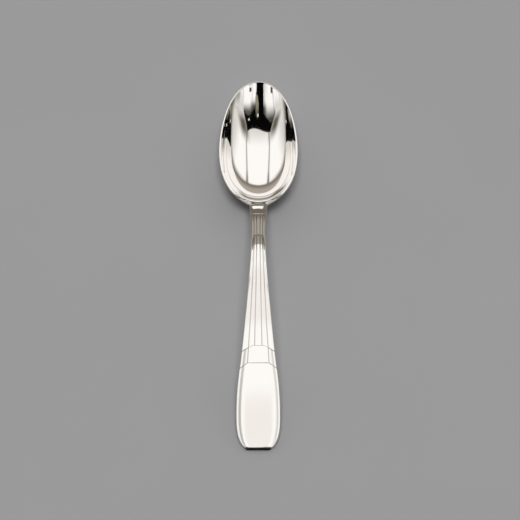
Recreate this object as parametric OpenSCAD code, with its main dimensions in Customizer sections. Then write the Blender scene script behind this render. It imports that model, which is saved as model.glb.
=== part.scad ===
// Small silver spoon: an egg-shaped bowl, a flared neck and an arched handle with a struck pattern.
// It lies on a table, hollow side up. +Y runs from the handle's end to the bowl's tip, +X across,
// +Z up. The origin is on the table, under the middle of the spoon's length. Millimetres.

/* [Whole spoon] */
// Length from the bowl's tip to the handle's end
spoon_len = 140; // [130:1:150]

/* [Bowl] */
// Length of the bowl from tip to heel, over the rim
bowl_len = 50.3; // [46:0.1:54]
// Width of the bowl at its widest, over the rim
bowl_w = 29.2; // [27:0.1:32]
// Depth of the hollow below the rim, at the widest place
bowl_depth = 8; // [7:0.1:9]
// Thickness of the metal at the bottom of the bowl
bowl_t = 1.1; // [1:0.05:1.8]
// Width of the rim's flat top at the bowl's sides
rim_w = 0.65; // [0.5:0.05:1]
// Width of the rim's flat top at the tip
rim_tip_w = 0.4; // [0.35:0.05:0.8]
// Width of the rim's flat top at the heel
rim_heel_w = 0.8; // [0.6:0.05:1]
// Height of the rim's outer edge
rim_h = 1.05; // [0.9:0.05:1.6]
// How much higher the rim stands at the heel than at the tip
rim_rise = 2.35; // [1:0.05:3]

/* [Neck] */
// Length of the neck from the bowl's heel to the start of the flutes
neck_len = 4.4; // [3.6:0.1:6]
// Thickness of the neck where the flutes start
neck_t = 2.8; // [2.4:0.1:3.6]
// Depth of the hollow behind the rim
neck_dip = 0.3; // [0.1:0.05:0.5]

/* [Handle] */
// Width of the stem at its narrowest
stem_w = 5.2; // [4.6:0.1:6]
// Width of the end panel at its widest
panel_w = 15.7; // [14:0.1:18]
// Height of the arch's crest above the table
crest_z = 18.8; // [17:0.1:21]
// Thickness of the handle's end
end_t = 2; // [1.6:0.05:2.4]

/* [Pattern] */
// Width of a struck groove
groove_w = 0.44; // [0.3:0.02:0.6]
// Depth of a struck groove
groove_d = 0.2; // [0.1:0.02:0.3]
// Distance of the panel's border groove from its edge
border_in = 1.05; // [0.9:0.05:1.4]
// Distance from the handle's end to the cross line above the panel
panel_len = 28.6; // [26:0.1:34]
// Distance between the two cross lines
collar_len = 5.7; // [4.5:0.1:8]

/* [Hidden] */

// Places along the spoon
tip_y = spoon_len / 2;
end_y = -tip_y;
bowl_y = tip_y - bowl_len / 2;
heel_y = tip_y - bowl_len;
flute_y = heel_y - neck_len;
// The bowl ends at a straight cut just behind its heel, where the neck takes over
cut_back = 0.6;
cut_y = heel_y - cut_back;
upper_line_y = end_y + panel_len + collar_len;
lower_line_y = end_y + panel_len;

// The egg outline: its half-width at t = -1 (heel) to 1 (tip), fuller at the heel than at the tip
egg_lean = 0.243;
egg_full = 0.233;
egg_widest_t = -0.15;
function egg_swell(t) = 1 - egg_lean * t + egg_full * t * t;
egg_peak = sqrt((1 - egg_widest_t * egg_widest_t) * egg_swell(egg_widest_t));
function egg_half(y, half_len, half_w, mid_y = bowl_y) =
    let (t = (y - mid_y) / half_len)
    half_w / egg_peak * sign(1 - t * t) * sqrt(abs(1 - t * t) * egg_swell(t));
function egg_point(turn, half_len, half_w, mid_y = bowl_y) =
    [half_w / egg_peak * sin(turn) * sqrt(egg_swell(cos(turn))), mid_y + half_len * cos(turn)];

// The rim's inner ridge and its outer edge are two such eggs. The ridge comes nearest to the edge at the tip.
outer_half = bowl_w / 2;
outer_len = bowl_len / 2;
ridge_half = outer_half - rim_w;
ridge_len = outer_len - (rim_tip_w + rim_heel_w) / 2;
ridge_y = bowl_y + (rim_heel_w - rim_tip_w) / 2;

// A cross section of the bowl is an arc that runs out straight to the rim. It is bent more tightly
// toward the tip and the heel.
end_bend = 0.175;
slackest_y = bowl_y - 0.4 * outer_len;
wall_lean = 55.5;
function tightness(y) = 1 + end_bend * pow((y - slackest_y) / outer_len, 2);
function arc_radius(half_w, depth) = (half_w * tan(wall_lean) - depth) / (1 / cos(wall_lean) - 1);
function arc_bend(y, radius) = tightness(y) / radius;
function arc_rise(x, bend) =
    let (arc = min(bend * abs(x), sin(wall_lean)))
    (1 - sqrt(1 - arc * arc)) / bend + (abs(x) - arc / bend) * tan(wall_lean);
function dish(x, half_w, bend) = arc_rise(x, bend) - arc_rise(max(0, half_w), bend);

hollow_r = arc_radius(ridge_half, bowl_depth);
function tilt(y) = rim_rise * (bowl_y - y) / bowl_len;
function hollow(x, y) =
    tilt(y) + dish(x, egg_half(y, ridge_len, ridge_half, ridge_y), arc_bend(y, hollow_r));

// The rim's height follows from the hollow's lowest point standing one thickness above the table
keel_ys = [for (i = [1 : 199]) mix(heel_y, tip_y, i / 200)];
deepest = min([for (y = keel_ys) hollow(0, y)]);
deepest_y = [for (y = keel_ys) if (hollow(0, y) == deepest) y][0];
rim_z = bowl_t - deepest;
function ridge_z(y) = rim_z + tilt(y);
function inside_z(x, y) = rim_z + hollow(x, y);

// Outside, the bowl bulges from the rim's lower edge to the table, worn flat where it stands
rim_round = 0.25;
worn_flat = 0.12;
back_half = egg_half(deepest_y, outer_len, outer_half);
back_r = tightness(deepest_y) * arc_radius(back_half, ridge_z(deepest_y) - rim_h + worn_flat);
function back_z(x, y) =
    ridge_z(y) - rim_h + dish(x, egg_half(y, outer_len, outer_half), arc_bend(y, back_r));

// A cubic from height a to height b as s goes from 0 to 1, with the rises at its ends
function cubic(a, b, rise_a, rise_b, s) =
    a + (b - a) * s * s * (3 - 2 * s) + rise_a * s * (1 - s) * (1 - s) - rise_b * s * s * (1 - s);
function ease(s) = let (c = min(1, max(0, s))) c * c * (3 - 2 * c);
function mix(a, b, s) = a + (b - a) * s;

// Side view of the handle: it climbs from the neck to a crest and falls to the end
crest_y = heel_y - 31.7;
neck_slope = 0.55;
end_slope = 0.2;
flute_z = ridge_z(cut_y) - neck_dip + neck_slope * (cut_y - flute_y) / 2;
function top_z(y) =
    y > crest_y
        ? let (run = flute_y - crest_y)
          cubic(flute_z, crest_z, neck_slope * run, 0, (flute_y - y) / run)
        : let (run = crest_y - end_y)
          cubic(crest_z, end_t, 0, -end_slope * run, (crest_y - y) / run);

// The end lies on the table along a short flat strip
end_sink = 0.2;
function along(y) = (y - end_y) / (flute_y - end_y);
function handle_t(y) = mix(end_t + end_sink, neck_t, along(y));
function under_z(y) = top_z(y) - handle_t(y);

// Plan of the handle: narrowest below the neck, widening to the panel, with a rounded square end
waist_y = heel_y - 14.7;
swell_y = end_y + 11.5;
corner_len = swell_y - end_y;
corner_power = 2.8;
corner_cut = 1.06;
stem_half = stem_w / 2;
panel_half = panel_w / 2;
neck_flare = 0.3;
panel_bow = 0.005;
spread_power = 1.5;
function panel_side(y) = panel_half - panel_bow * (y - swell_y) * (y - swell_y);
function corner(y) =
    pow(1 - pow((swell_y - y) / (corner_len * corner_cut), corner_power), 1 / corner_power);
function handle_half(y) =
    y > waist_y ? stem_half + neck_flare * pow((y - waist_y) / (flute_y - waist_y), 2)
    : y > lower_line_y ? mix(stem_half, panel_side(lower_line_y),
                             pow((waist_y - y) / (waist_y - lower_line_y), spread_power))
    : y > swell_y ? panel_side(y)
    : panel_half * corner(y);

// The shoulder is the larger of the egg and the neck, with a fillet that fades out up the bowl
shoulder_fillet = 2.4;
shoulder_len = 12;
shoulder_fade = 8;
function shoulder_half(y) =
    let (egg = egg_half(y, outer_len, outer_half), stem = handle_half(min(y, heel_y)),
         both = (egg + stem + sqrt(pow(egg - stem, 2) + pow(shoulder_fillet, 2))) / 2)
    mix(egg, both, ease((heel_y + shoulder_len - y) / shoulder_fade));

// Under the shoulder the neck thins out sideways and runs into the back of the bowl
under_blend = 1.6;
neck_sink = 0.3;
shoulder_run = 5.5;
function neck_under(x, y) =
    mix(under_z(flute_y) - neck_sink, ridge_z(y) - rim_h, ease((abs(x) - stem_half) / shoulder_run));
function softly_lower(a, b) = (a + b - sqrt(pow(a - b, 2) + pow(under_blend, 2))) / 2;
function belly_z(x, y) =
    y > heel_y + shoulder_len ? max(0, back_z(x, y))
    : max(0, mix(softly_lower(back_z(x, y), neck_under(x, y)), back_z(x, y),
                 ease(2 * norm([x, y - heel_y]) / shoulder_len - 1)));

// Two triangles for each four-cornered patch, corners given clockwise from outside
function patch(a, b, c, d) = [[a, b, c], [a, c, d]];

// A closed solid between an upper and a lower sheet of points, in rows toward the handle's end
module slab(upper, lower) {
    rows = len(upper);
    cols = len(upper[0]);
    n = rows * cols;
    function up(r, c) = r * cols + c;
    function down(r, c) = n + r * cols + c;
    polyhedron(
        points = [for (row = upper) each row, for (row = lower) each row],
        faces = [
            for (r = [0 : rows - 2], c = [0 : cols - 2])
                each patch(up(r, c), up(r, c + 1), up(r + 1, c + 1), up(r + 1, c)),
            for (r = [0 : rows - 2], c = [0 : cols - 2])
                each patch(down(r, c), down(r + 1, c), down(r + 1, c + 1), down(r, c + 1)),
            for (c = [0 : cols - 2])
                each patch(up(0, c + 1), up(0, c), down(0, c), down(0, c + 1)),
            for (c = [0 : cols - 2], r = rows - 1)
                each patch(up(r, c), up(r, c + 1), down(r, c + 1), down(r, c)),
            for (r = [0 : rows - 2])
                each patch(up(r, 0), up(r + 1, 0), down(r + 1, 0), down(r, 0)),
            for (r = [0 : rows - 2], c = cols - 1)
                each patch(up(r + 1, c), up(r, c), down(r, c), down(r + 1, c))
        ],
        convexity = 6
    );
}

// A closed dish: rings of points around a middle point, above and below
module shell(upper, lower, upper_mid, lower_mid) {
    rings = len(upper);
    under = len(lower);
    cols = len(upper[0]);
    n = rings * cols;
    m = n + under * cols;
    function up(r, c) = r * cols + c % cols;
    function down(r, c) = n + r * cols + c % cols;
    polyhedron(
        points = [for (ring = upper) each ring, for (ring = lower) each ring, upper_mid, lower_mid],
        faces = [
            for (c = [0 : cols - 1]) [m, up(0, c), up(0, c + 1)],
            for (c = [0 : cols - 1]) [m + 1, down(0, c + 1), down(0, c)],
            for (r = [0 : rings - 2], c = [0 : cols - 1])
                each patch(up(r, c), up(r + 1, c), up(r + 1, c + 1), up(r, c + 1)),
            for (r = [0 : under - 2], c = [0 : cols - 1])
                each patch(down(r, c), down(r, c + 1), down(r + 1, c + 1), down(r + 1, c)),
            for (c = [0 : cols - 1])
                each patch(up(rings - 1, c + 1), up(rings - 1, c), down(under - 1, c), down(under - 1, c + 1))
        ],
        convexity = 6
    );
}

// How far a place on the neck is past the cut
cut_half = shoulder_half(cut_y);
function past_cut(y) = (cut_y - y) / (cut_y - flute_y);

// Spokes around the bowl, in degrees from the tip: closer together at the shoulder and on the cut
shoulder_turn = 140;
cut_turn = 168;
round_spokes = 28;
shoulder_spokes = 10;
cut_spokes = 5;
half_turns = [
    for (i = [0 : round_spokes - 1]) mix(0, shoulder_turn, i / round_spokes),
    for (i = [0 : shoulder_spokes - 1]) mix(shoulder_turn, cut_turn, i / shoulder_spokes),
    for (i = [0 : cut_spokes]) mix(cut_turn, 180, i / cut_spokes)
];
turns = [each half_turns, for (i = [len(half_turns) - 2 : -1 : 1]) 360 - half_turns[i]];

// The rim's inner ridge is the egg. Its outer edge runs down the shoulder to the cut.
function ridge_point(turn) = egg_point(turn, ridge_len, ridge_half, ridge_y);
cut_drop = egg_point(cut_turn, outer_len, outer_half)[1] - cut_y;
function edge_point(turn) =
    let (far = 180 - abs(180 - turn), side = turn > 180 ? -1 : 1,
         down = cut_drop * pow(max(0, far - shoulder_turn) / (cut_turn - shoulder_turn), 2),
         y = egg_point(far, outer_len, outer_half)[1] - down)
    far < cut_turn ? [side * shoulder_half(y), y]
                   : [side * cut_half * (180 - far) / (180 - cut_turn), cut_y];
function rim_fall(turn) =
    let (far = 180 - abs(180 - turn))
    mix(rim_round, neck_dip, ease((far - shoulder_turn) / (cut_turn - shoulder_turn)));
function toward_middle(p, reach) = [reach * p[0], mix(deepest_y, p[1], reach)];

module bowl() {
    inner_rings = 14;
    back_rings = 14;
    hollow_sheet = [for (i = [1 : inner_rings]) [for (turn = turns)
        let (p = toward_middle(ridge_point(turn), sin(90 * i / inner_rings)))
        [p[0], p[1], inside_z(p[0], p[1])]]];
    rim_sheet = [for (s = [0.55, 1]) [for (turn = turns)
        let (p = mix(ridge_point(turn), edge_point(turn), s))
        [p[0], p[1], ridge_z(p[1]) - rim_fall(turn) * s * s]]];
    back_sheet = [for (i = [1 : back_rings]) [for (turn = turns)
        let (p = toward_middle(edge_point(turn), sin(90 * i / back_rings)))
        [p[0], p[1], belly_z(p[0], p[1])]]];
    color("silver")
        shell([each hollow_sheet, each rim_sheet], back_sheet,
              [0, deepest_y, inside_z(0, deepest_y)], [0, deepest_y, belly_z(0, deepest_y)]);
}

// The neck dips behind the rim, and narrows from the shoulder to the flutes
crown = 0.35;
edge_round = 0.3;
edge_power = 16;
function crowned_z(y, u) = top_z(y) - crown * u * u - edge_round * pow(abs(u), edge_power);
function neck_half(y) = mix(shoulder_half(y), handle_half(y), ease(past_cut(y)));
function neck_point(y, u) =
    let (s = past_cut(y), low = ridge_z(cut_y) - neck_dip, rise = neck_slope * (cut_y - flute_y),
         edge_drop = top_z(flute_y) - crowned_z(flute_y, u))
    [u * neck_half(y), y, cubic(low, flute_z, 0, rise, s) - s * edge_drop];
function neck_low(p) =
    [p[0], p[1], mix(belly_z(p[0], p[1]), under_point(p)[2], ease(past_cut(p[1])))];

module neck() {
    neck_rows = 10;
    us = [for (i = [-cut_spokes : cut_spokes]) i / cut_spokes];
    upper = [for (y = rows(cut_y, flute_y, neck_rows)) [for (u = us) neck_point(y, u)]];
    color("silver") slab(upper, [for (row = upper) [for (p = row) neck_low(p)]]);
}

// A row of points across the handle. The cross lines are pointed: beyond a knee they lean back,
// and the rows between them follow. u runs from -1 to 1 over the width.
inner_flute_u = 0.23;
outer_flute_u = 0.6;
upper_knee_u = 0.4;
upper_lean = 29;
lower_lean = 35;
lean_fade = 14;
function row_lean(y) =
    y > upper_line_y ? tan(upper_lean) * (1 - ease((y - upper_line_y) / lean_fade))
    : y > lower_line_y ? mix(tan(upper_lean), tan(lower_lean), (upper_line_y - y) / collar_len)
    : tan(lower_lean) * (1 - ease((lower_line_y - y) / lean_fade));
function row_knee(y) =
    y > lower_line_y ? mix(upper_knee_u, outer_flute_u, ease((upper_line_y - y) / collar_len))
    : outer_flute_u;
function lean_back(y, u) = max(0, abs(u) - row_knee(y)) * handle_half(y) * row_lean(y);
function groove(gap) = groove_d * max(0, 1 - 2 * abs(gap) / groove_w);
function line_cut(y) = groove(y - upper_line_y) + groove(y - lower_line_y);

// The depth struck at u: flutes down to the lower line or the upper one, borders below the upper one
function struck(y, u) =
    let (w = handle_half(y), x = abs(u) * w)
    max(y >= upper_line_y ? groove(x - inner_flute_u * w) : 0,
        y >= lower_line_y ? groove(x - outer_flute_u * w) : 0,
        y <= upper_line_y ? groove(x - w + border_in) : 0,
        line_cut(y));
function handle_point(y, u) =
    let (back_y = y - lean_back(y, u), w = handle_half(back_y))
    [u * w, back_y, crowned_z(back_y, u) - struck(y, u)];
under_crown = 0.25;
function under_point(p) =
    let (u = p[0] / handle_half(p[1]))
    [p[0], p[1], max(0, under_z(p[1]) + under_crown * along(p[1]) * u * u)];

// Places across half the width where a row needs a point: both lips and the floor of each groove
function groove_us(y, u) = let (lip = groove_w / 2 / handle_half(y)) [u - lip, u, u + lip];
function border_u(y) = 1 - border_in / handle_half(y);
function across(half) = [for (i = [len(half) - 1 : -1 : 0]) -half[i], 0, each half];
function stem_us(y) =
    across([each groove_us(y, inner_flute_u), upper_knee_u, each groove_us(y, outer_flute_u), 0.82, 0.93, 1]);
function collar_us(y) =
    across([upper_knee_u, each groove_us(y, outer_flute_u), each groove_us(y, border_u(y)), 0.95, 1]);
function panel_us(y) =
    across([0.3, outer_flute_u, each groove_us(y, border_u(y)), 0.95, 1]);

// Rows from one place to another, with the lip of a cross line's groove next to it
function rows(from_y, to_y, steps) = [for (i = [0 : steps]) mix(from_y, to_y, i / steps)];
lip = groove_w / 2;
module length_of_handle(sheet) {
    color("silver") slab(sheet, [for (row = sheet) [for (p = row) under_point(p)]]);
}

module fluted_stem() {
    ys = [each rows(flute_y, upper_line_y + lip, 24), upper_line_y];
    length_of_handle([for (y = ys) [for (u = stem_us(y)) handle_point(y, u)]]);
}

module collar_band() {
    ys = [upper_line_y, each rows(upper_line_y - lip, lower_line_y + lip, 4), lower_line_y];
    length_of_handle([for (y = ys) [for (u = collar_us(y)) handle_point(y, u)]]);
}

module end_panel() {
    end_flat = 1.5;
    ys = [lower_line_y, each rows(lower_line_y - lip, swell_y, 8),
          for (i = [1 : 7]) mix(swell_y, end_y + end_flat, sin(90 * i / 7)), end_y + end_flat / 3, end_y];
    length_of_handle([for (y = ys) [for (u = panel_us(y)) handle_point(y, u)]]);
}

bowl();
neck();
fluted_stem();
collar_band();
end_panel();
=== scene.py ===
import math

import bmesh
import bpy
import numpy as np
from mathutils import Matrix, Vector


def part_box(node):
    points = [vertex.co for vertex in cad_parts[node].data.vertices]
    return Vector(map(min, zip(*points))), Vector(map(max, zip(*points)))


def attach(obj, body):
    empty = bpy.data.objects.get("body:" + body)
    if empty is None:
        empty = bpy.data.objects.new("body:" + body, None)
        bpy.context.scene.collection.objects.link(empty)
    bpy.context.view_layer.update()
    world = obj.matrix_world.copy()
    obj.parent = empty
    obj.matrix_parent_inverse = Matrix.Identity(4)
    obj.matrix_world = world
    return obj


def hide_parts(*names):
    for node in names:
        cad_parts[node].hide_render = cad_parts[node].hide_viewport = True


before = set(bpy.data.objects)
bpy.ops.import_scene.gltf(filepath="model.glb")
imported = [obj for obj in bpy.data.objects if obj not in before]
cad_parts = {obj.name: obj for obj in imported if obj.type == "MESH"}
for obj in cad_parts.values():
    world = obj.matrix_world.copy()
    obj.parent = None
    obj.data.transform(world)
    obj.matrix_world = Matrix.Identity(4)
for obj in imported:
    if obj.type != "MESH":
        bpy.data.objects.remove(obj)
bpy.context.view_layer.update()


# Bowl: the dished end of the blank, drawn in a press from nickel silver, with a flat rim left all
# round and filed over at both edges. It is silver plated and buffed to a mirror with the rest.
# Sizes are in millimetres, and the frame's are in metres.
MM = 0.001
tip_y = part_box("bowl")[1][1] / MM
cut_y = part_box("bowl")[0][1] / MM
outer_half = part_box("bowl")[1][0] / MM
bowl_length, bowl_depth, bowl_thick = 50.3, 8.0, 1.1
rim_width, rim_tip_width, rim_heel_width, rim_height, rim_rise = 0.65, 0.4, 0.8, 1.05, 2.35
rim_roll, lip_round, worn_flat = 0.36, 0.1, 0.12
bowl_y, heel_y = tip_y - bowl_length / 2, tip_y - bowl_length
outer_reach = bowl_length / 2
ridge_half, ridge_reach = outer_half - rim_width, outer_reach - (rim_tip_width + rim_heel_width) / 2
ridge_y = bowl_y + (rim_heel_width - rim_tip_width) / 2


def ease(s):
    """Runs smoothly from 0 to 1, and stays there."""
    c = np.clip(s, 0, 1)
    return c * c * (3 - 2 * c)


def blend(a, b, s):
    return a + (b - a) * s


def roll_off(gap, radius):
    """How far a filed edge drops at this gap from the edge."""
    inside = np.clip(radius - gap, 0, radius)
    return radius - np.sqrt(radius ** 2 - inside ** 2)


def softly_lower(a, b, width):
    """The lower of two heights, with the corner between them rounded."""
    return (a + b - np.sqrt((a - b) ** 2 + width ** 2)) / 2


# The egg outline, fuller at the heel than at the tip
egg_lean, egg_full, egg_widest = 0.243, 0.233, -0.15


def egg_swell(t):
    return 1 - egg_lean * t + egg_full * t * t


egg_peak = math.sqrt((1 - egg_widest ** 2) * egg_swell(egg_widest))


def egg_half(y, reach, half, mid_y=bowl_y):
    t = (y - mid_y) / reach
    return half / egg_peak * np.sign(1 - t * t) * np.sqrt(np.abs(1 - t * t) * egg_swell(t))


def egg_point(turn, reach, half, mid_y=bowl_y):
    c, s = np.cos(np.radians(turn)), np.sin(np.radians(turn))
    return np.stack([half / egg_peak * s * np.sqrt(egg_swell(c)), mid_y + reach * c], -1)


# A cross section is an arc that runs out straight to the rim, bent more tightly toward the tip and the heel
end_bend, slackest_y = 0.175, bowl_y - 0.4 * outer_reach
wall_lean = math.radians(55.5)


def tightness(y):
    return 1 + end_bend * ((y - slackest_y) / outer_reach) ** 2


def arc_radius(half, depth):
    return (half * math.tan(wall_lean) - depth) / (1 / math.cos(wall_lean) - 1)


def arc_rise(x, bend):
    arc = np.minimum(bend * np.abs(x), math.sin(wall_lean))
    return (1 - np.sqrt(1 - arc ** 2)) / bend + (np.abs(x) - arc / bend) * math.tan(wall_lean)


def dish(x, y, half, radius):
    """Height of a dished cross section against its edges."""
    bend = tightness(y) / radius
    return arc_rise(x, bend) - arc_rise(np.maximum(0, half), bend)


def rim_tilt(y):
    return rim_rise * (bowl_y - y) / bowl_length


hollow_radius = arc_radius(ridge_half, bowl_depth)


def hollow(x, y):
    """Height of the hollow against the middle of the rim."""
    return rim_tilt(y) + dish(x, y, egg_half(y, ridge_reach, ridge_half, ridge_y), hollow_radius)


keel_ys = np.linspace(heel_y, tip_y, 201)[1:-1]
rim_z = bowl_thick - hollow(0.0, keel_ys).min()
deepest_y = keel_ys[hollow(0.0, keel_ys).argmin()]


def ridge_z(y):
    return rim_z + rim_tilt(y)


back_half = egg_half(deepest_y, outer_reach, outer_half)
back_radius = tightness(deepest_y) * arc_radius(back_half, ridge_z(deepest_y) - rim_height + worn_flat)


def back_z(x, y):
    return ridge_z(y) - rim_height + dish(x, y, egg_half(y, outer_reach, outer_half), back_radius)


# The shoulder: the egg runs into the neck through a fillet that fades out up the bowl
stem_half, neck_flare = 2.6, 0.3
flute_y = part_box("fluted_stem")[1][1] / MM
waist_y = heel_y - 14.7
shoulder_fillet, shoulder_length, shoulder_fade, shoulder_run = 2.4, 12.0, 8.0, 5.5
neck_dip, neck_slope, neck_thick, neck_sink, neck_crown = 0.3, 0.55, 2.8, 0.3, 0.25
under_blend, slope_step = 1.6, 0.01
flute_z = ridge_z(cut_y) - neck_dip + neck_slope * (cut_y - flute_y) / 2


def neck_side(y):
    return stem_half + neck_flare * ((np.minimum(y, heel_y) - waist_y) / (flute_y - waist_y)) ** 2


def shoulder_half(y):
    egg, stem = egg_half(y, outer_reach, outer_half), neck_side(y)
    both = (egg + stem + np.sqrt((egg - stem) ** 2 + shoulder_fillet ** 2)) / 2
    return blend(egg, both, ease((heel_y + shoulder_length - y) / shoulder_fade))


def side_gap(x, y):
    """Distance of a point from the shoulder's outline."""
    lean = (shoulder_half(y + slope_step) - shoulder_half(y - slope_step)) / (2 * slope_step)
    return np.maximum(0, shoulder_half(y) - np.abs(x)) / np.sqrt(1 + lean ** 2)


def belly_z(x, y):
    """The bowl's underside, filled out at the shoulder and worn flat where it stands."""
    wing = ease((np.abs(x) - stem_half) / shoulder_run)
    under = blend(flute_z - neck_thick - neck_sink, ridge_z(y) - rim_height, wing)
    plain = back_z(x, y)
    near = softly_lower(plain, under, under_blend)
    far = ease(2 * np.hypot(x, y - heel_y) / shoulder_length - 1)
    return np.maximum(0, np.where(y > heel_y + shoulder_length, plain, blend(near, plain, far)))


# Spokes round the bowl, in degrees from the tip, closer together at the shoulder and on the cut
egg_turn, shoulder_turn, cut_turn = 100.0, 140.0, 168.0
egg_spokes, shoulder_spokes, cut_spokes = 76, 26, 20
half_turns = np.concatenate([
    np.linspace(0, shoulder_turn, egg_spokes)[:-1],
    np.linspace(shoulder_turn, cut_turn, shoulder_spokes)[:-1],
    np.linspace(cut_turn, 180, cut_spokes),
])
turns = np.concatenate([half_turns, 360 - half_turns[-2:0:-1]])
far_turn = 180 - np.abs(180 - turns)
side = np.where(turns > 180, -1.0, 1.0)
cut_half = shoulder_half(np.array(cut_y))
shoulder_share = ease((far_turn - shoulder_turn) / (cut_turn - shoulder_turn))
cut_drop = egg_point(cut_turn, outer_reach, outer_half)[1] - cut_y
down = cut_drop * (np.maximum(0, far_turn - shoulder_turn) / (cut_turn - shoulder_turn)) ** 2
edge_y = np.where(far_turn < cut_turn, egg_point(far_turn, outer_reach, outer_half)[:, 1] - down, cut_y)
on_cut = np.sin(np.radians(90 * (180 - far_turn) / (180 - cut_turn)))
edge_x = side * np.where(far_turn < cut_turn, shoulder_half(edge_y), cut_half * on_cut)
edge = np.stack([edge_x, edge_y], -1)
ridge = egg_point(turns, ridge_reach, ridge_half, ridge_y)
middle = np.array([0.0, deepest_y])


def filed_gap(plan):
    """Distance from the bowl's edge, for filing it over. The cut behind the heel isn't filed."""
    straight = np.hypot(*(edge - plan).T)
    return np.where(far_turn < egg_turn, straight, side_gap(plan[:, 0], plan[:, 1]))


def as_ring(plan, z):
    return np.column_stack([plan, z])


def neck_round(x):
    """How far the neck falls to each side of its middle."""
    wing = ease((np.abs(x) - stem_half) / shoulder_run)
    return neck_crown * np.minimum(1, (x / cut_half) ** 2) * (1 - wing)


# Painted darkening in the bowl's colour: a grey hair line inside the rim, and a darker line round the heel
# that swells at its corners, a painted reflection of dark things in the hollow. Places and widths are in
# millimetres and turns in degrees, and the rest is strength.
heel_from, heel_run = 100.0, 70.0
hair_in, hair_heel_in, hair_width, hair_heel_width = 2.2, 2.3, 0.5, 0.9
hair_dark, hair_heel_dark, hair_from, hair_run = 0.5, 1.4, 80.0, 14.0
corner_in, corner_width, corner_dark, corner_run = 0.95, 2.4, 1.9, 18.0
right_corner_from, left_corner_from = 130.0, 146.0
swell_turn, swell_run, swell_in, swell_width, swell_dark = 153.0, 14.0, 0.35, 0.5, 2.4
toward_heel = ease((far_turn - heel_from) / heel_run)
swell = ease(1 - np.abs(far_turn - swell_turn) / swell_run)
corner_from = np.where(side > 0, right_corner_from, left_corner_from)


def rim_line_and_painted_reflection(inside):
    """Strength of the painted darkening on each spoke, at a distance inside the rim."""
    hair_gap = np.abs(inside - blend(hair_in, hair_heel_in, toward_heel))
    hair = ease(1 - 2 * hair_gap / blend(hair_width, hair_heel_width, toward_heel))
    hair_shade = blend(hair_dark, hair_heel_dark, toward_heel) * ease((far_turn - hair_from) / hair_run)
    corner_gap = np.abs(inside - corner_in - swell_in * swell)
    corner = ease(1 - 2 * corner_gap / (corner_width + swell_width * swell))
    corner_shade = blend(corner_dark, swell_dark, swell) * ease((far_turn - corner_from) / corner_run)
    return hair * hair_shade + corner * corner_shade


def crowded(count):
    """Shares of a way, closer together toward its far end."""
    return np.sin(np.radians(90 * np.arange(1, count + 1) / count))


hollow_rings, rim_rings, back_rings = 90, 24, 44
just_inside, dip_from, dip_run = 0.998, 0.4, 0.95
wall_in = blend(middle, ridge, just_inside)
wall_drop = ridge_z(wall_in[:, 1]) - rim_z - hollow(wall_in[:, 0], wall_in[:, 1])
wall_steep = wall_drop / np.hypot(*(ridge - wall_in).T)
rim_span = np.hypot(*(edge - ridge).T)
bowl_rings, bowl_line_and_reflection = [], []
for share in crowded(hollow_rings):
    plan = blend(middle, ridge, share)
    sunk = rim_z + hollow(plan[:, 0], plan[:, 1]) - ridge_z(plan[:, 1])
    bowl_rings.append(as_ring(plan, ridge_z(plan[:, 1]) + softly_lower(sunk, 0, lip_round)))
    bowl_line_and_reflection.append(rim_line_and_painted_reflection((1 - share) * np.hypot(*(ridge - middle).T)))
for share in crowded(rim_rings):
    plan = blend(ridge, edge, share)
    from_ridge = share * rim_span
    fall = (neck_dip + neck_round(plan[:, 0])) * shoulder_share * ease((from_ridge - dip_from) / dip_run)
    land = ridge_z(plan[:, 1]) + softly_lower(wall_steep * from_ridge, -fall, lip_round)
    bowl_rings.append(as_ring(plan, land - roll_off(filed_gap(plan), rim_roll)))
for share in crowded(back_rings)[::-1]:
    plan = blend(middle, edge, share)
    bowl_rings.append(as_ring(plan, belly_z(plan[:, 0], plan[:, 1]) + roll_off(filed_gap(plan), rim_roll)))


def skin(name, rings, first, last):
    """A closed skin through rings of points in millimetres, shut by a point at each end."""
    rings = np.array(rings)
    rows, cols = rings.shape[:2]
    points = np.vstack([rings.reshape(-1, 3), first, last]) * MM
    faces = []
    for c in range(cols):
        n = (c + 1) % cols
        faces.append((rows * cols, c, n))
        faces.append((rows * cols + 1, (rows - 1) * cols + n, (rows - 1) * cols + c))
        for r in range(rows - 1):
            faces.append((r * cols + c, (r + 1) * cols + c, (r + 1) * cols + n, r * cols + n))
    mesh = bpy.data.meshes.new(name)
    mesh.from_pydata(points.tolist(), [], faces)
    bm = bmesh.new()
    bm.from_mesh(mesh)
    bmesh.ops.recalc_face_normals(bm, faces=bm.faces)
    bm.to_mesh(mesh)
    bm.free()
    piece = bpy.data.objects.new(name, mesh)
    bpy.context.collection.objects.link(piece)
    return piece


crease = math.radians(60)


def buff(piece):
    """Smooth shading, with a hard edge where two lengths of the blank meet."""
    piece.data.shade_smooth()
    piece.data.set_sharp_from_angle(angle=crease)


def linear(hex_colour):
    """An sRGB hex colour as linear RGBA."""
    parts = [int(hex_colour[i:i + 2], 16) / 255 for i in (1, 3, 5)]
    return (*[c / 12.92 if c <= 0.04045 else ((c + 0.055) / 1.055) ** 2.4 for c in parts], 1)


def add(tree, kind, feeds=(), **settings):
    """Adds a node. Feeds pair a socket with a value, an output, or a node, which gives its first output."""
    made = tree.nodes.new(kind)
    for key, value in settings.items():
        setattr(made, key, value)
    for key, value in feeds:
        if isinstance(value, bpy.types.Node):
            value = value.outputs[0]
        if isinstance(value, bpy.types.NodeSocket):
            tree.links.new(value, made.inputs[key])
        else:
            made.inputs[key].default_value = value
    return made
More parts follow.
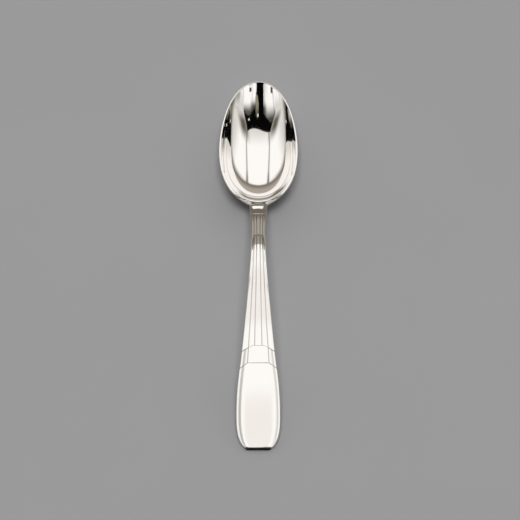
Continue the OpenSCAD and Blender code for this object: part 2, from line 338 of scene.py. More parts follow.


# Polished silver plate: a warm white mirror. Years of wiping leave fine marks that run along the spoon,
# drawn wider than real ones so that they show, a roughness that drifts from place to place, and a grey
# trace of tarnish in what is struck on the handle. In the bowl the same grey is painted darkening: a grey
# line inside the rim and a painted reflection round the heel.
cloud_size, wipe_width, wipe_stretch, wipe_depth, wipe_strength = 9.0, 0.35, 0.06, 0.05, 0.04
smooth, dulled, wiped, dark_share = 0.035, 0.06, 0.05, 0.5
cloud_from, cloud_full, wipe_from, wipe_full = 0.3, 0.7, 0.55, 0.8
silver = bpy.data.materials.new("polished_silver_plate")
silver.use_nodes = True
tree = silver.node_tree
tree.nodes.clear()
place = add(tree, "ShaderNodeTexCoord").outputs["Object"]
cloud = add(tree, "ShaderNodeTexNoise", [
    ("Vector", place), ("Scale", 1 / (cloud_size * MM)), ("Detail", 3.0)])
stretch = add(tree, "ShaderNodeMapping", [("Vector", place), ("Scale", (1, wipe_stretch, 1))])
wipes = add(tree, "ShaderNodeTexNoise", [
    ("Vector", stretch), ("Scale", 1 / (wipe_width * MM)), ("Detail", 4.0)])
# This attribute holds the handle's tarnish and the bowl's painted darkening, with its painted reflection.
marked = add(tree, "ShaderNodeAttribute", attribute_name="tarnish_and_painted_reflection").outputs["Fac"]
darkening = add(tree, "ShaderNodeMath", [(0, marked), (1, dark_share)], operation="MULTIPLY", use_clamp=True)
tone = add(tree, "ShaderNodeMix", [
    (0, cloud), (6, linear("#fbf9f7")), (7, linear("#f8f5f2"))], data_type="RGBA")
metal = add(tree, "ShaderNodeMix", [
    (0, darkening), (6, tone.outputs[2]), (7, linear("#6e685f"))], data_type="RGBA")
drift = add(tree, "ShaderNodeMapRange", [
    (0, cloud), (1, cloud_from), (2, cloud_full), (3, smooth), (4, dulled)])
marks = add(tree, "ShaderNodeMapRange", [
    (0, wipes), (1, wipe_from), (2, wipe_full), (3, 0.0), (4, wiped)])
rough = add(tree, "ShaderNodeMath", [(0, drift), (1, marks)], operation="ADD")
scratch = add(tree, "ShaderNodeBump", [
    ("Height", wipes), ("Strength", wipe_strength), ("Distance", wipe_depth * MM)])
plate = add(tree, "ShaderNodeBsdfPrincipled", [
    ("Base Color", metal.outputs[2]), ("Metallic", 1.0), ("Roughness", rough), ("Normal", scratch)])
add(tree, "ShaderNodeOutputMaterial", [("Surface", plate)])

bowl = skin("plated_bowl", bowl_rings, [0, deepest_y, bowl_thick], [0, deepest_y, belly_z(0.0, deepest_y)])
# The hollow's rings carry the painted darkening: a grey line inside the rim and a painted reflection round
# the heel.
clean_points = len(bowl.data.vertices) - len(bowl_line_and_reflection) * len(turns)
bowl_marks = np.concatenate([*bowl_line_and_reflection, np.zeros(clean_points)]).astype(np.float32)
bowl.data.attributes.new("tarnish_and_painted_reflection", "FLOAT", "POINT").data.foreach_set("value", bowl_marks)
bowl.data.materials.append(silver)
buff(bowl)
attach(bowl, "root")
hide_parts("bowl")


# Neck: the short length behind the rim where the blank is thickest. It dips behind the rim's heel,
# narrows from the shoulder and turns up into the stem. Stamped in one with the bowl.
end_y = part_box("end_panel")[0][1] / MM
crest_y, crest_z = heel_y - 31.7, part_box("fluted_stem")[1][2] / MM
end_thick, end_slope, end_sink = 2.0, 0.2, 0.2
crown, end_crown, under_crown, handle_roll = 0.55, 0.3, 0.25, 0.42
neck_rows, neck_columns = 25, 20


def cubic(a, b, rise_a, rise_b, s):
    """A smooth curve from a to b, with its slope given at both ends."""
    return a + (b - a) * s * s * (3 - 2 * s) + rise_a * s * (1 - s) ** 2 - rise_b * s * s * (1 - s)


def top_z(y):
    """Side view of the handle: it climbs from the neck to a crest and falls to the end."""
    climb, fall = flute_y - crest_y, crest_y - end_y
    up = cubic(flute_z, crest_z, neck_slope * climb, 0, (flute_y - y) / climb)
    away = cubic(crest_z, end_thick, 0, -end_slope * fall, (crest_y - y) / fall)
    return np.where(y > crest_y, up, away)


def along(y):
    """0 at the handle's end and 1 where the flutes start."""
    return (y - end_y) / (flute_y - end_y)


def crown_z(y, u):
    """How far the top falls from its middle to its edges, nearly flat in the middle."""
    return blend(end_crown, crown, along(y)) * np.abs(u) ** 3


def under_z(y, u):
    thick = blend(end_thick + end_sink, neck_thick, along(y))
    return np.maximum(0, top_z(y) - thick + under_crown * along(y) * u * u)


neck_ys = np.linspace(cut_y, flute_y, neck_rows)[:, None]
neck_u = np.sin(np.radians(90 * np.arange(-neck_columns, neck_columns + 1) / neck_columns))[None, :]
past_cut = (cut_y - neck_ys) / (cut_y - flute_y)
neck_half = blend(shoulder_half(neck_ys), neck_side(neck_ys), ease(past_cut))
neck_x = neck_u * neck_half
neck_y = neck_ys + 0 * neck_u
neck_roll = roll_off((1 - np.abs(neck_u)) * neck_half, rim_roll)
neck_low = ridge_z(cut_y) - neck_dip
neck_top = cubic(neck_low, flute_z, 0, neck_slope * (cut_y - flute_y), past_cut)
neck_top = neck_top - blend(neck_round(neck_x), crown_z(neck_y, neck_u), past_cut)
neck_under = blend(belly_z(neck_x, neck_y), under_z(neck_y, neck_u), ease(past_cut))


def loops(x, y, top, under):
    """Closed section loops: along the top to the right, and back underneath."""
    upper = np.stack([x, y, top], -1)
    lower = np.stack([x, y, under], -1)[:, ::-1]
    return np.concatenate([upper, lower], axis=1)


neck_loops = loops(neck_x, neck_y, neck_top - neck_roll, neck_under + neck_roll)
neck = skin("plated_neck", neck_loops, neck_loops[0].mean(0), neck_loops[-1].mean(0))
neck.data.materials.append(silver)
buff(neck)
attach(neck, "root")
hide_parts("neck")


# Fluted stem: the narrow arched part of the blank, struck between dies with four fine grooves that
# leave five flutes. Its edges are filed over. The same dies strike the lines across it.
lower_line_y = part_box("end_panel")[1][1] / MM
upper_line_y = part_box("collar_band")[1][1] / MM
panel_half, panel_bow, spread_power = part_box("end_panel")[1][0] / MM, 0.005, 1.5
swell_y = end_y + 11.5
corner_power, corner_cut = 2.8, 1.06
inner_flute, outer_flute, upper_knee = 0.23, 0.6, 0.4
upper_lean, lower_lean, lean_fade = math.tan(math.radians(29)), math.tan(math.radians(35)), 14.0
groove_width, groove_depth, flute_run = 0.44, 0.16, 1.2
border_inset, border_width, border_spread, border_depth, border_fade = 0.98, 0.55, 1.4, 0.13, 4.8
line_width, line_depth, bead_width, bead_height = 0.4, 0.07, 0.6, 0.05
slope_tarnish = 1.4


def panel_side(y):
    return panel_half - panel_bow * (y - swell_y) ** 2


def handle_half(y):
    """Plan of the handle: narrowest below the neck, widening to the panel, with a squared end."""
    widened = np.clip((waist_y - y) / (waist_y - lower_line_y), 0, 1) ** spread_power
    stem = blend(stem_half, panel_side(lower_line_y), widened)
    past = np.clip((swell_y - y) / ((swell_y - end_y) * corner_cut), 0, 1)
    corner = panel_half * (1 - past ** corner_power) ** (1 / corner_power)
    lower = np.where(y > swell_y, panel_side(y), corner)
    return np.where(y > waist_y, neck_side(y), np.where(y > lower_line_y, stem, lower))


def lean_back(y, u):
    """How far a row of the pattern leans back toward the end, beyond its knee."""
    span = upper_line_y - lower_line_y
    above = upper_lean * (1 - ease((y - upper_line_y) / lean_fade))
    between = blend(upper_lean, lower_lean, (upper_line_y - y) / span)
    beneath = lower_lean * (1 - ease((lower_line_y - y) / lean_fade))
    lean = np.where(y > upper_line_y, above, np.where(y > lower_line_y, between, beneath))
    knee = blend(upper_knee, outer_flute, ease((upper_line_y - y) / span))
    return np.maximum(0, np.abs(u) - knee) * handle_half(y) * lean


# The dies' pattern, as a tree that presses it into a blank's top. It reads where each point lies.
press = bpy.data.node_groups.new("struck_pattern", "GeometryNodeTree")
press.interface.new_socket("Geometry", in_out="INPUT", socket_type="NodeSocketGeometry")
press_sizes = {
    "Inner flute place": inner_flute, "Outer flute place": outer_flute,
    "Groove width": groove_width * MM, "Groove depth": groove_depth * MM,
    "Flute start": flute_y * MM, "Flute run": flute_run * MM,
    "Upper line": upper_line_y * MM, "Lower line": lower_line_y * MM,
    "Line width": line_width * MM, "Line depth": line_depth * MM, "Slope tarnish": slope_tarnish,
    "Border inset": border_inset * MM, "Border width": border_width * MM, "Border spread": border_spread * MM,
    "Border depth": border_depth * MM, "Border fade": border_fade * MM, "Handle end": end_y * MM,
    "Bead width": bead_width * MM, "Bead height": bead_height * MM,
}
press_keys = {}
for label in press_sizes:
    socket = press.interface.new_socket(label, in_out="INPUT", socket_type="NodeSocketFloat")
    press_keys[label] = socket.identifier
press.interface.new_socket("Geometry", in_out="OUTPUT", socket_type="NodeSocketGeometry")
given = add(press, "NodeGroupInput").outputs
lies = {}
for label in "across", "half_width", "row", "on_top":
    lies[label] = add(press, "GeometryNodeInputNamedAttribute", [("Name", label)], data_type="FLOAT")
half_width, row, on_top = lies["half_width"], lies["row"], lies["on_top"]
across = add(press, "ShaderNodeMath", [(0, lies["across"])], operation="ABSOLUTE")
from_start = add(press, "ShaderNodeMath", [(0, given["Flute start"]), (1, row)], operation="SUBTRACT")
flute_fade = add(press, "ShaderNodeMapRange", [
    (0, from_start), (1, 0.0), (2, given["Flute run"]), (3, 0.0), (4, 1.0)])
above_upper = add(press, "ShaderNodeMath", [(0, row), (1, given["Upper line"])], operation="GREATER_THAN")
above_lower = add(press, "ShaderNodeMath", [(0, row), (1, given["Lower line"])], operation="GREATER_THAN")


def channel(gap, width, depth):
    """The depth of a round-bottomed channel at this gap from its middle."""
    half = add(press, "ShaderNodeMath", [(0, width), (1, 0.5)], operation="MULTIPLY")
    off = add(press, "ShaderNodeMath", [(0, gap)], operation="ABSOLUTE")
    return add(press, "ShaderNodeMapRange", [
        (0, off), (1, 0.0), (2, half), (3, depth), (4, 0.0)], interpolation_type="SMOOTHSTEP")


def groove(share, kept):
    """A groove between two flutes, at a share of the half width, on the rows where it is kept."""
    bottom = add(press, "ShaderNodeMath", [(0, half_width), (1, share)], operation="MULTIPLY")
    gap = add(press, "ShaderNodeMath", [(0, across), (1, bottom)], operation="SUBTRACT")
    depth = channel(gap, given["Groove width"], given["Groove depth"])
    depth = add(press, "ShaderNodeMath", [(0, depth), (1, kept)], operation="MULTIPLY")
    return add(press, "ShaderNodeMath", [(0, depth), (1, flute_fade)], operation="MULTIPLY")


def cross_line(line):
    gap = add(press, "ShaderNodeMath", [(0, row), (1, line)], operation="SUBTRACT")
    return channel(gap, given["Line width"], given["Line depth"])


inner = groove(given["Inner flute place"], above_upper)
outer = groove(given["Outer flute place"], above_lower)
upper, lower = cross_line(given["Upper line"]), cross_line(given["Lower line"])

# The border channel starts at the upper line, has a long inner slope, and runs out into the end's corners
to_end = add(press, "ShaderNodeMath", [(0, row), (1, given["Handle end"])], operation="SUBTRACT")
to_end = add(press, "ShaderNodeMath", [(0, to_end), (1, 0.0)], operation="MAXIMUM")
whole_border = add(press, "ShaderNodeMath", [(0, to_end), (1, given["Border fade"])], operation="DIVIDE")
whole_border = add(press, "ShaderNodeMath", [(0, whole_border)], operation="SQRT")
whole_border = add(press, "ShaderNodeMath", [(0, whole_border), (1, 1.0)], operation="MINIMUM")
inset = add(press, "ShaderNodeMath", [(0, given["Border inset"]), (1, whole_border)], operation="MULTIPLY")
from_edge = add(press, "ShaderNodeMath", [(0, half_width), (1, across)], operation="SUBTRACT")
inward = add(press, "ShaderNodeMath", [(0, from_edge), (1, inset)], operation="SUBTRACT")
inside = add(press, "ShaderNodeMath", [(0, inward), (1, 0.0)], operation="GREATER_THAN")
border_across = add(press, "ShaderNodeMath", [
    (0, inside), (1, given["Border spread"]), (2, given["Border width"])], operation="MULTIPLY_ADD")
border_sunk = add(press, "ShaderNodeMath", [
    (0, given["Border depth"]), (1, whole_border)], operation="MULTIPLY")
below_upper = add(press, "ShaderNodeMath", [(0, 1.0), (1, above_upper)], operation="SUBTRACT")
border = channel(inward, border_across, border_sunk)
border = add(press, "ShaderNodeMath", [(0, border), (1, below_upper)], operation="MULTIPLY")

# What is struck deepest counts where channels cross. The bead stands up just below the flutes' start.
pressed = inner
for struck_in in outer, border, upper, lower:
    pressed = add(press, "ShaderNodeMath", [(0, pressed), (1, struck_in)], operation="MAXIMUM")
bead_middle = add(press, "ShaderNodeMath", [(0, given["Bead width"]), (1, 0.5)], operation="MULTIPLY")
from_bead = add(press, "ShaderNodeMath", [(0, from_start), (1, bead_middle)], operation="SUBTRACT")
bead = channel(from_bead, given["Bead width"], given["Bead height"])
pressed = add(press, "ShaderNodeMath", [(0, pressed), (1, bead)], operation="SUBTRACT")
pressed = add(press, "ShaderNodeMath", [(0, pressed), (1, on_top)], operation="MULTIPLY")
lowered = add(press, "ShaderNodeMath", [(0, pressed), (1, -1.0)], operation="MULTIPLY")
push = add(press, "ShaderNodeCombineXYZ", [("Z", lowered)])
moved = add(press, "GeometryNodeSetPosition", [("Geometry", given["Geometry"]), ("Offset", push)])

# Tarnish follows the depth of what is struck, and is darker where the cross lines slant to the edges
slant_from = add(press, "ShaderNodeMath", [
    (0, half_width), (1, given["Outer flute place"])], operation="MULTIPLY")
slanted = add(press, "ShaderNodeMath", [(0, across), (1, slant_from)], operation="GREATER_THAN")
slanted = add(press, "ShaderNodeMath", [(0, slanted), (1, on_top)], operation="MULTIPLY")
line_share = add(press, "ShaderNodeMath", [(0, upper), (1, lower)], operation="MAXIMUM")
line_share = add(press, "ShaderNodeMath", [(0, line_share), (1, given["Line depth"])], operation="DIVIDE")
line_share = add(press, "ShaderNodeMath", [(0, line_share), (1, slanted)], operation="MULTIPLY")
depth_share = add(press, "ShaderNodeMath", [(0, pressed), (1, given["Groove depth"])], operation="DIVIDE")
tarnished = add(press, "ShaderNodeMath", [
    (0, line_share), (1, given["Slope tarnish"]), (2, depth_share)], operation="MULTIPLY_ADD")
traced = add(press, "GeometryNodeStoreNamedAttribute", [
    ("Geometry", moved), ("Name", "tarnish_and_painted_reflection"), ("Value", tarnished)], data_type="FLOAT", domain="POINT")
whole = add(press, "GeometryNodeRealizeInstances", [("Geometry", traced)])
plated = add(press, "GeometryNodeSetMaterial", [("Geometry", whole), ("Material", silver)])
add(press, "NodeGroupOutput", [("Geometry", plated)])


def strike(name, rows, half_columns, end_roll=0.0):
    """A length of the handle between two rows, with its top struck and its edges filed over."""
    ys = np.array(rows, float)[:, None]
    half_at_row = handle_half(ys)
    right = half_columns(half_at_row)
    x = np.concatenate([-right[:, :0:-1], right], axis=1)
    u = x / half_at_row
    y = ys - lean_back(ys, u)
    half = handle_half(y)
    x = u * half
    lean = (handle_half(y + slope_step) - handle_half(y - slope_step)) / (2 * slope_step)
    gap = (1 - np.abs(u)) * half / np.sqrt(1 + lean ** 2)
    filed = filed_under = roll_off(gap, handle_roll)
    if end_roll:
        filed = np.maximum(filed, roll_off(y - end_y, end_roll))
        filed_under = np.maximum(filed_under, roll_off(y - end_y, handle_roll))
    rings = loops(x, y, top_z(y) - crown_z(y, u) - filed, under_z(y, u) + filed_under)
    piece = skin(name, rings, rings[0].mean(0), rings[-1].mean(0))
    top = np.zeros(rings.shape[:2])
    top[:, :x.shape[1]] = 1
    in_row = ys + 0 * x
    layers = {"across": loops(x, y, x, x)[..., 2] * MM, "half_width": loops(x, y, half, half)[..., 2] * MM,
              "row": loops(x, y, in_row, in_row)[..., 2] * MM, "on_top": top}
    for label, values in layers.items():
        layer = piece.data.attributes.new(label, "FLOAT", "POINT")
        layer.data.foreach_set("value", np.append(values.ravel(), [0, 0]).astype(np.float32))
    die = piece.modifiers.new("struck pattern", "NODES")
    die.node_group = press
    for label, value in press_sizes.items():
        die[press_keys[label]] = value
    ready = bpy.context.evaluated_depsgraph_get()
    struck_mesh = bpy.data.meshes.new_from_object(
        piece.evaluated_get(ready), preserve_all_data_layers=True, depsgraph=ready)
    piece.modifiers.clear()
    piece.data = struck_mesh
    buff(piece)
    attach(piece, "root")
    return piece


def spread(low, high, count):
    """Evenly spaced places between two, without the ends."""
    return [blend(low, high, (i + 1) / (count + 1)) for i in range(count)]


across_groove = np.linspace(-0.5, 0.5, 9)
half_groove = groove_width / 2
filed_places = [handle_roll * (1 - math.sin(math.radians(a))) for a in range(0, 91, 10)]


def stem_columns(half):
    """Places from the stem's middle to its edge, close together in the grooves and on the filed edge."""
    first, second = inner_flute * half, outer_flute * half
    return np.concatenate(
        [0 * half, *spread(0 * half, first - half_groove, 3)]
        + [first + groove_width * s for s in across_groove]
        + spread(first + half_groove, second - half_groove, 5)
        + [second + groove_width * s for s in across_groove]
        + spread(second + half_groove, half - handle_roll, 4)
        + [half - f for f in filed_places], axis=1)


line_reach, start_reach = 0.3, 1.5
line_rows = np.linspace(0, line_reach, 9)
stem_rows = np.concatenate([
    np.linspace(flute_y, flute_y - start_reach, 12)[:-1],
    np.linspace(flute_y - start_reach, upper_line_y + line_reach, 110)[:-1],
    upper_line_y + line_rows[::-1],
])
stem = strike("plated_stem", stem_rows, stem_columns)
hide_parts("fluted_stem")


# Collar band: the short band between the two pointed cross lines, where the middle grooves stop and
# the outer ones run on. Struck with the stem.
into_channel = np.linspace(1, 0, 9)[:-1]
out_of_channel = np.linspace(0, 1, 5)
channel_in, channel_out = (border_width + border_spread) / 2, border_width / 2


def border_columns(half):
    """Places across the border channel and the filed edge outside it."""
    bottom = half - border_inset
    into = [bottom - channel_in * s for s in into_channel]
    out_of = [bottom + channel_out * s for s in out_of_channel]
    return into + out_of + [half - f for f in filed_places]


def collar_columns(half):
    knee, second = upper_knee * half, outer_flute * half
    return np.concatenate(
        [0 * half, *spread(0 * half, knee, 4), knee, *spread(knee, second - half_groove, 2)]
        + [second + groove_width * s for s in across_groove]
        + spread(second + half_groove, half - border_inset - channel_in, 2)
        + border_columns(half), axis=1)


collar_rows = np.concatenate([
    upper_line_y - line_rows[:-1],
    np.linspace(upper_line_y - line_reach, lower_line_y + line_reach, 16)[:-1],
    lower_line_y + line_rows[::-1],
])
collar = strike("plated_collar", collar_rows, collar_columns)
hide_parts("collar_band")


# End panel: the plain, softly crowned end of the handle, with a channel struck inside each long edge
# that leaves a thread along it, and a squared end that touches the table.
end_round = 1.1


def panel_columns(half):
    knee = outer_flute * half
    return np.concatenate(
        [0 * half, *spread(0 * half, knee, 6), knee, *spread(knee, half - border_inset - channel_in, 3)]
        + border_columns(half), axis=1)


panel_rows = np.concatenate([
    lower_line_y - line_rows[:-1],
    np.linspace(lower_line_y - line_reach, swell_y, 50)[:-1],
    swell_y - (swell_y - end_y - end_round) * np.sin(np.radians(np.linspace(0, 90, 40)))[:-1],
    end_y + end_round * (1 - np.sin(np.radians(np.linspace(0, 90, 19)))),
])
panel = strike("plated_panel", panel_rows, panel_columns, end_roll=end_round)
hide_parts("end_panel")


# Floor: a sheet of plain grey paper, far wider than the spoon that lies on it. Its fibres make the grey
# change slightly from place to place.
fibre_size, floor_half, paper_rough = 60.0, 1.5, 0.9
paper = bpy.data.materials.new("grey_paper")
paper.use_nodes = True
tree = paper.node_tree
tree.nodes.clear()
place = add(tree, "ShaderNodeTexCoord").outputs["Object"]
fibres = add(tree, "ShaderNodeTexNoise", [
    ("Vector", place), ("Scale", 1 / (fibre_size * MM)), ("Detail", 2.0)])
grey = add(tree, "ShaderNodeMix", [
    (0, fibres), (6, linear("#9b9b9c")), (7, linear("#9e9e9f"))], data_type="RGBA")
sheet = add(tree, "ShaderNodeBsdfPrincipled", [
    ("Base Color", grey.outputs[2]), ("Roughness", paper_rough), ("Specular IOR Level", 0.0)])
add(tree, "ShaderNodeOutputMaterial", [("Surface", sheet)])
floor_mesh = bpy.data.meshes.new("floor")
floor_mesh.from_pydata(
    [(-floor_half, -floor_half, 0), (floor_half, -floor_half, 0),
     (floor_half, floor_half, 0), (-floor_half, floor_half, 0)], [], [(0, 1, 2, 3)])
floor_mesh.materials.append(paper)
floor = bpy.data.objects.new("floor", floor_mesh)
bpy.context.collection.objects.link(floor)


# Lamp: a soft box high over the spoon, which lights the paper and throws the soft shadow. Reflections
# leave it out, so the polished metal sees the tent's cloth there.
soft_box = bpy.data.lights.new("soft_box", "AREA")
soft_box.shape = "RECTANGLE"
soft_box.size, soft_box.size_y, soft_box.energy = 0.7, 0.6, 15.5
lamp_height = 1.6
lamp = bpy.data.objects.new("soft_box", soft_box)
lamp.location = (0, 0, lamp_height)
lamp.visible_glossy = False
bpy.context.collection.objects.link(lamp)


# Light tent: white cloth on all sides, lit from outside. It has a seam along each side of its roof, a
# dark opening in front of the roof with a fold hanging at each side of it, and darker cloth low down.
tent_light = 1.03
tent = bpy.data.worlds.new("light_tent")
tent.use_nodes = True
bpy.context.scene.world = tent
sky = tent.node_tree
sky.nodes.clear()
compass = add(sky, "ShaderNodeTexCoord").outputs["Generated"]
way = add(sky, "ShaderNodeSeparateXYZ", [(0, compass)]).outputs


def turn_of(operation, *sides):
    """The angle in degrees that these sides make."""
    angle = add(sky, "ShaderNodeMath", list(enumerate(sides)), operation=operation)
    return add(sky, "ShaderNodeMath", [(0, angle)], operation="DEGREES")


def below(value, limit, soft):
    """1 where an angle is below a limit, fading over soft degrees to each side."""
    past = add(sky, "ShaderNodeMath", [(0, value), (1, limit)], operation="SUBTRACT")
    return add(sky, "ShaderNodeMapRange", [
        (0, past), (1, -soft), (2, soft), (3, 1.0), (4, 0.0)], interpolation_type="SMOOTHSTEP")


def lay(under, colour, *masks):
    """Lays a colour over another where all the masks meet."""
    meet = masks[0]
    for mask in masks[1:]:
        meet = add(sky, "ShaderNodeMath", [(0, meet), (1, mask)], operation="MULTIPLY")
    laid = add(sky, "ShaderNodeMix", [(0, meet), (6, under), (7, linear(colour))], data_type="RGBA")
    return laid.outputs[2]


# Angles in degrees: over the spoon from the near horizon to the far one, and aside from its middle plane
nearward = add(sky, "ShaderNodeMath", [(0, way["Y"]), (1, -1.0)], operation="MULTIPLY")
over = turn_of("ARCTAN2", way["Z"], nearward)
nearer = add(sky, "ShaderNodeMath", [(0, over), (1, -1.0)], operation="MULTIPLY")
raised = turn_of("ARCSINE", way["Z"])
rightward = turn_of("ARCSINE", way["X"])
leftward = add(sky, "ShaderNodeMath", [(0, rightward), (1, -1.0)], operation="MULTIPLY")
aside = add(sky, "ShaderNodeMath", [(0, rightward)], operation="ABSOLUTE")
inboard = add(sky, "ShaderNodeMath", [(0, aside), (1, -1.0)], operation="MULTIPLY")
side_fall = -0.25
sides_lower = add(sky, "ShaderNodeMath", [(0, aside), (1, side_fall), (2, nearer)], operation="MULTIPLY_ADD")

# The roof's two seams lie on both sides of a line a little right of the middle, and close up toward the back
seam_middle, seam_aside, seam_closes, seam_closes_from = 1.3, 29.5, -0.25, 114.0
toward_back = add(sky, "ShaderNodeMath", [(0, over), (1, seam_closes_from)], operation="SUBTRACT")
toward_back = add(sky, "ShaderNodeMath", [(0, toward_back), (1, 0.0)], operation="MAXIMUM")
seam_at = add(sky, "ShaderNodeMath", [
    (0, toward_back), (1, seam_closes), (2, seam_aside)], operation="MULTIPLY_ADD")
off_seam = add(sky, "ShaderNodeMath", [(0, rightward), (1, seam_middle)], operation="SUBTRACT")
off_seam = add(sky, "ShaderNodeMath", [(0, off_seam)], operation="ABSOLUTE")
off_seam = add(sky, "ShaderNodeMath", [(0, off_seam), (1, seam_at)], operation="SUBTRACT")
off_seam = add(sky, "ShaderNodeMath", [(0, off_seam)], operation="ABSOLUTE")

# The opening narrows from front to back between slanting sides, and its back edge is a cubic curve
side_soft, back_soft, back_curve = 0.8, 0.5, (0.000126, 0.0058, -0.134, 96.2)
right_side = {"turn": rightward, "starts": 90.5, "slants": -0.6, "fold": 9.5}
left_side = {"turn": leftward, "starts": 110.9, "slants": -0.76, "fold": 10.5}
off_folds, within_sides = [], []
for flap in right_side, left_side:
    flap_edge = add(sky, "ShaderNodeMath", [
        (0, over), (1, flap["slants"]), (2, flap["starts"])], operation="MULTIPLY_ADD")
    past_edge = add(sky, "ShaderNodeMath", [(0, flap["turn"]), (1, flap_edge)], operation="SUBTRACT")
    past_fold = add(sky, "ShaderNodeMath", [(0, past_edge), (1, flap["fold"])], operation="SUBTRACT")
    off_folds.append(add(sky, "ShaderNodeMath", [(0, past_fold)], operation="ABSOLUTE"))
    within_sides.append(below(flap["turn"], flap_edge, side_soft))
off_fold = add(sky, "ShaderNodeMath", [(0, off_folds[0]), (1, off_folds[1])], operation="MINIMUM")
fold_middle = 95.0
along_fold = add(sky, "ShaderNodeMath", [(0, over), (1, fold_middle)], operation="SUBTRACT")
along_fold = add(sky, "ShaderNodeMath", [(0, along_fold)], operation="ABSOLUTE")
back_edge = back_curve[0]
for term in back_curve[1:]:
    back_edge = add(sky, "ShaderNodeMath", [
        (0, back_edge), (1, rightward), (2, term)], operation="MULTIPLY_ADD")

# Each patch of cloth ends at an angle, given with how softly it ends there
shaded_sides, roof_front = (-58.0, 12.0), (106.0, 9.0)
seam_wide, seam_from, seam_end_wide, seam_end_from = (1.3, 1.8), (-95.0, 4.0), (1.3, 2.6), (-152.0, 14.0)
fold_wide, fold_long = (11.0, 8.5), (12.0, 9.0)
front_wall, right_wall, low_wall, dark_front = (74.0, 12.0), (-58.0, 8.0), (9.0, 8.0), (42.0, 6.0)
far_low, far_hem, far_lowest = (-172.0, 7.0), (-166.0, 1.2), (-171.0, 3.0)
cloth = lay(linear("#fffefc"), "#d6d3cf", below(inboard, *shaded_sides))
cloth = lay(cloth, "#dddcd8", below(over, *roof_front))
cloth = lay(cloth, "#958f88", below(off_seam, *seam_wide), below(nearer, *seam_from))
cloth = lay(cloth, "#766f67", below(off_seam, *seam_end_wide), below(nearer, *seam_end_from))
cloth = lay(cloth, "#645d53", below(off_fold, *fold_wide), below(along_fold, *fold_long))
cloth = lay(cloth, "#9a9b93", below(over, *front_wall), below(leftward, *right_wall))
cloth = lay(cloth, "#5a554e", below(raised, *low_wall))
cloth = lay(cloth, "#8f8880", below(sides_lower, *far_low))
cloth = lay(cloth, "#7f786f", below(nearer, *far_hem))
cloth = lay(cloth, "#a9a299", below(nearer, *far_lowest))
cloth = lay(cloth, "#050505", below(over, back_edge, back_soft), *within_sides)
cloth = lay(cloth, "#181614", below(over, *dark_front))

# Past the floor's edge the camera sees plain grey, not the cloth
in_view = add(sky, "ShaderNodeLightPath").outputs["Is Camera Ray"]
seen = add(sky, "ShaderNodeMix", [(0, in_view), (6, cloth), (7, linear("#949495"))], data_type="RGBA")
shine = add(sky, "ShaderNodeBackground", [("Color", seen.outputs[2]), ("Strength", tent_light)])
add(sky, "ShaderNodeOutputWorld", [("Surface", shine)])


# Cards: glowing flat sheets round the spoon that only reflections see, so they shade nothing. They paint
# what the polished metal reflects: the tent's front flaps with their slit, clips and sparks, a white card
# over the stem, brown and pale ones about the neck, and a dark one before the end, which is a painted contact
# shadow. The hollow shows the flaps turned round, and they are named as shown there.
hang_size, hang_stretch, hang_from, hang_full = 45.0, 0.15, 0.5, 0.68


def card(name, corners, colour, *washes, folds=0.0):
    """A flat card of one colour. A wash is a second colour and the places where it comes in."""
    mesh = bpy.data.meshes.new(name)
    mesh.from_pydata([[c * MM for c in corner] for corner in corners], [], [tuple(range(len(corners)))])
    glow = bpy.data.materials.new(name)
    glow.use_nodes = True
    tree = glow.node_tree
    tree.nodes.clear()
    place = add(tree, "ShaderNodeTexCoord").outputs["Object"]
    spot = add(tree, "ShaderNodeSeparateXYZ", [(0, place)])
    hung = add(tree, "ShaderNodeMapping", [("Vector", place), ("Scale", (1, hang_stretch, 1))])
    fold = add(tree, "ShaderNodeTexNoise", [
        ("Vector", hung), ("Scale", 1 / (hang_size * MM)), ("Detail", 1.0)])
    shade = add(tree, "ShaderNodeMapRange", [(0, fold), (1, hang_from), (2, hang_full), (3, 0.0), (4, folds)])
    tone = add(tree, "ShaderNodeMix", [
        (0, shade), (6, linear(colour)), (7, linear("#8f9189"))], data_type="RGBA")
    for wash, *fades in washes:
        cover = 1.0
        for axis, start, stop in fades:
            step = add(tree, "ShaderNodeMapRange", [
                (0, spot.outputs[axis]), (1, start * MM), (2, stop * MM)], interpolation_type="SMOOTHSTEP")
            cover = add(tree, "ShaderNodeMath", [(0, cover), (1, step)], operation="MULTIPLY")
        tone = add(tree, "ShaderNodeMix", [
            (0, cover), (6, tone.outputs[2]), (7, linear(wash))], data_type="RGBA")
    light = add(tree, "ShaderNodeEmission", [("Color", tone.outputs[2]), ("Strength", tent_light)])
    add(tree, "ShaderNodeOutputMaterial", [("Surface", light)])
    mesh.materials.append(glow)
    piece = bpy.data.objects.new(name, mesh)
    bpy.context.collection.objects.link(piece)
    piece.visible_camera = False
    piece.visible_diffuse = False
    piece.visible_shadow = False


def level(z, *points):
    return [(x, y, z) for x, y in points]


def upright(y, *points):
    return [(x, y, z) for x, z in points]


def oblong(z, x0, x1, y0, y1):
    return level(z, (x0, y0), (x1, y0), (x1, y1), (x0, y1))


def both_sides(right_half):
    return right_half + [(-x, other) for x, other in right_half[::-1]]


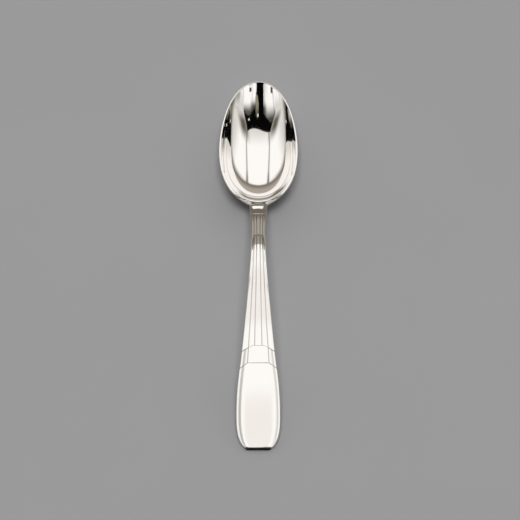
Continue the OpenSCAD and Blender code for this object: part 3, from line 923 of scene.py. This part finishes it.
white, brown = "#fffefc", "#6d665c"
flaps_z, lining_z, sparks_z = 150, 149, 148
left_flap = [(16, -45), (16, -18), (24, -4), (22, 15), (45, 22), (70, 33), (100, 33), (129, 25), (144, 22)]
flaps_far = [(600, 22), (600, -320), (-600, -320), (-600, 26)]
right_flap = [(-179, 33), (-122, 54), (-97, 58), (-61, 38), (-38, 27), (-41, 2), (-43, -17), (-44, -45)]
card("front_flaps", level(flaps_z, *left_flap, *flaps_far, *right_flap), white,
     ("#55544d", ("Y", 2, 27), ("X", -10, 10)),
     ("#4a4943", ("Y", 4, 46), ("X", 10, -10)),
     ("#45443d", ("Y", -6, 16), ("X", 80, 40), ("X", -10, 10)),
     ("#45443d", ("Y", -2, 20), ("X", -80, -40), ("X", 10, -10)),
     ("#9a9b93", ("X", 170, 330)),
     ("#d8d6d2", ("X", 130, 160), ("Y", -25, 20)),
     ("#d8d6d2", ("X", -165, -200), ("Y", -25, 20)), folds=0.8)
lining = [(22, -10), (8, -8), (-2, 8), (0, 28), (8, 40), (20, 30)]
card("slit_lining", level(lining_z, *lining), "#8e8c78", ("#4c4b40", ("Y", 4, 36)))
card("left_clip", oblong(lining_z, 62, 84, -22, -15), "#2a2a26")
card("right_clip", oblong(lining_z, -152, -122, -24, -14), "#3a3a35")
card("left_spark", oblong(sparks_z, 66, 78, 42, 48), white)
card("right_spark", oblong(sparks_z, 0, 7, 28, 34), white)

stem_card_z, neck_card_z = 60, 23.5
card("over_stem", oblong(stem_card_z, -30, 30, -110, 28), white,
     ("#f4f0ee", ("Y", -45, -32)),
     (white, ("Y", 8, 26)),
     ("#f3efec", ("Y", -73, -83), ("X", 14, 8), ("X", -14, -8)))
half_behind = [(30, 11.8), (30, 20.0), (9, 31.6)]
card("behind_neck", upright(cut_y, *both_sides(half_behind)), brown,
     ("#a39d94", ("Z", 12.2, 15.5)),
     ("#a09a91", ("Z", 23.5, 27.5)))
half_over = [(4, 12), (4.5, 7), (9, 7), (11, 12), (11, 22), (8, 22), (8, 35)]
card("over_neck", level(neck_card_z, *both_sides(half_over)), brown,
     ("#9d978f", ("Y", 18.4, 15.4), ("X", -5, -3), ("X", 5, 3)),
     ("#24201c", ("Y", 13.4, 14.6), ("Y", 20, 18.8), ("X", 3.4, 4.8)),
     ("#24201c", ("Y", 13.4, 14.6), ("Y", 20, 18.8), ("X", -3.4, -4.8)),
     (white, ("X", -7.4, -5.4), ("X", 5.6, 3.6), ("Y", 25.6, 27)))
beside_x, flank_gap = 9, 0.05
beside = [(8.5, 9), (23, 9), (23, 26), (18.5, 26), (18.5, 13), (8.5, 13)]
flank = [(3.0, 11.8), (3.2, 9.0), (9, 9.0), (30, 11.8)]
for name, out in ("left", -1), ("right", 1):
    outward = [(x * out, z) for x, z in flank]
    card(name + "_of_neck", [(beside_x * out, y, z) for y, z in beside], brown)
    card(name + "_flank_front", upright(cut_y, *outward), brown)
    card(name + "_flank_back", upright(cut_y + flank_gap, *outward), "#d2ccc5")
# A dark strip on the floor just before the end: a painted contact shadow, which only the end's reflection
# shows.
strip_z, strip_half, strip_near, strip_far = 0.05, 9, end_y - 100, end_y - 0.02
card("painted_contact_shadow", oblong(strip_z, -strip_half, strip_half, strip_near, strip_far), "#1a1815")


# Camera: 0.6 m off, above the handle's end and tipped 70 degrees down, with a long lens. Its focal length
# is in pixels of the square frame.
frame_pixels, focal_pixels, sensor_width = 520, 1650, 36.0
tipped, distance = math.radians(70), 600
aim_x, aim_y, aim_z = 0.58, -0.49, 5
eye = bpy.data.cameras.new("camera")
eye.sensor_width = sensor_width
eye.lens = sensor_width * focal_pixels / frame_pixels
camera = bpy.data.objects.new("camera", eye)
bpy.context.collection.objects.link(camera)
camera.location = (
    aim_x * MM, (aim_y - distance * math.cos(tipped)) * MM, (aim_z + distance * math.sin(tipped)) * MM)
camera.rotation_euler = (math.radians(90) - tipped, 0, 0)
bpy.context.scene.camera = camera
bpy.context.scene.view_settings.view_transform = "Standard"
